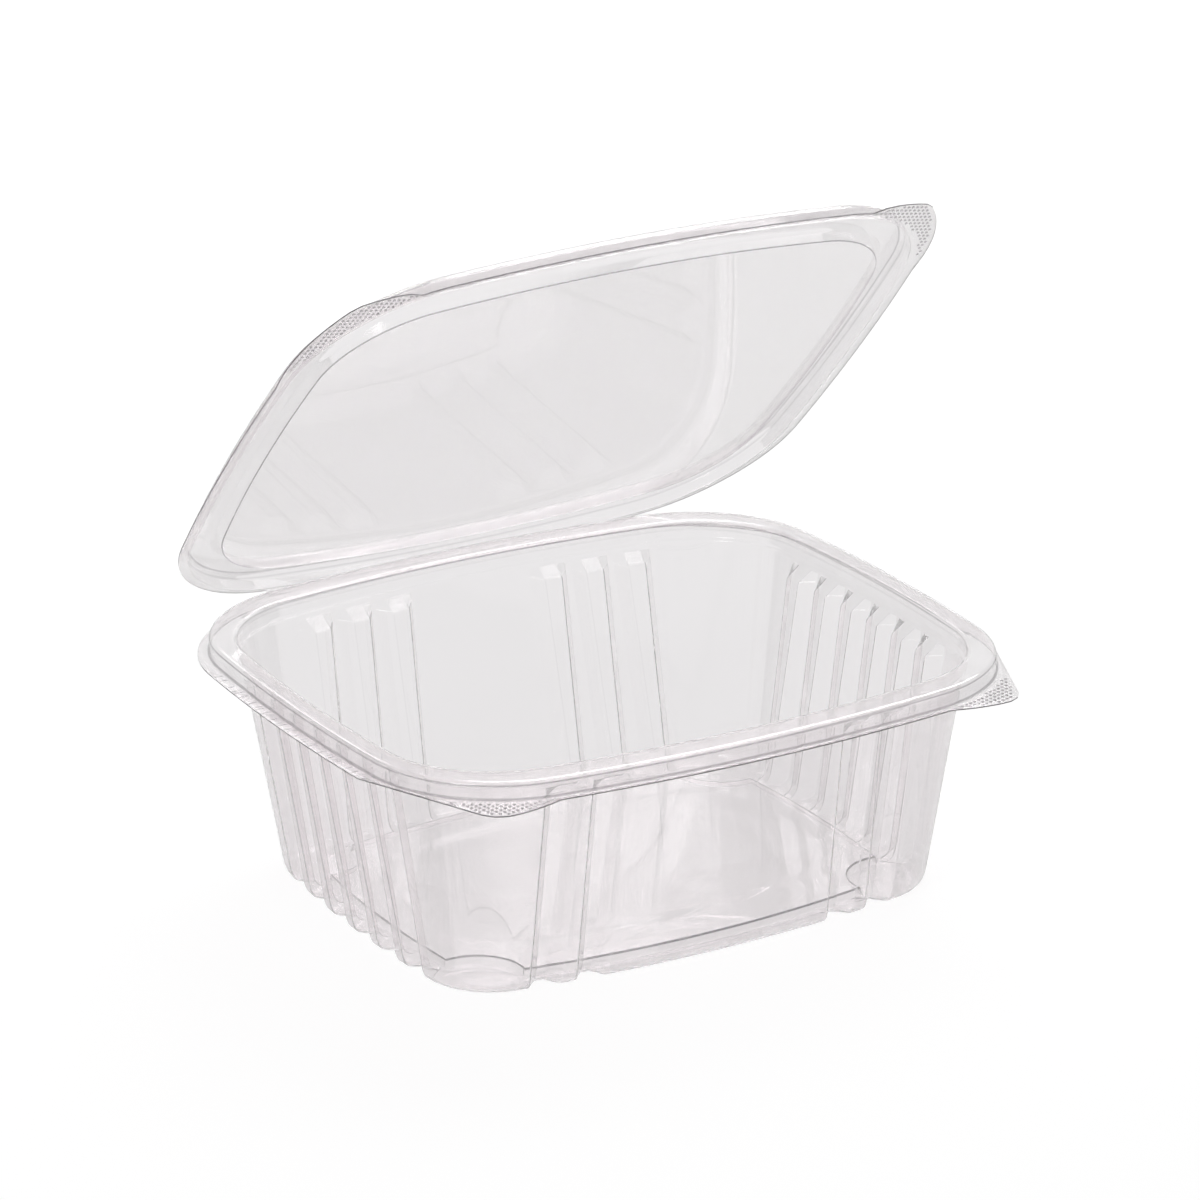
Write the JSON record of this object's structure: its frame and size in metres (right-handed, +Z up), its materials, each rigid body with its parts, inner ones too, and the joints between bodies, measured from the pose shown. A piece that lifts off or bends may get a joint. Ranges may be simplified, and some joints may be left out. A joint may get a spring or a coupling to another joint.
{
  "type": "hinged deli container",
  "caption": "Clear plastic deli container with a ribbed, bowed tub, a beaded rim and a flat lid that folds up on a living hinge and snaps over the rim.",
  "frame": {"origin": "on the table, under the centre of the tub", "axes": "+Z up, +X to the right along the wide side, -Y towards the front, with the hinge at +Y"},
  "size_m": [0.1836, 0.1653, 0.1788],
  "materials": {
    "clear_sheet": "clear gloss"
  },
  "bodies": {
    "tub": {"tub": "clear_sheet"},
    "lid": {"lid": "clear_sheet"}
  },
  "joints": [
    {"name": "lid_fold", "type": "hinge", "parent": "tub", "child": "lid", "pos_m": [0, 0.0817, 0.06], "axis": [-1, 0, 0], "range_deg": [-45.7, 134.3]}
  ]
}
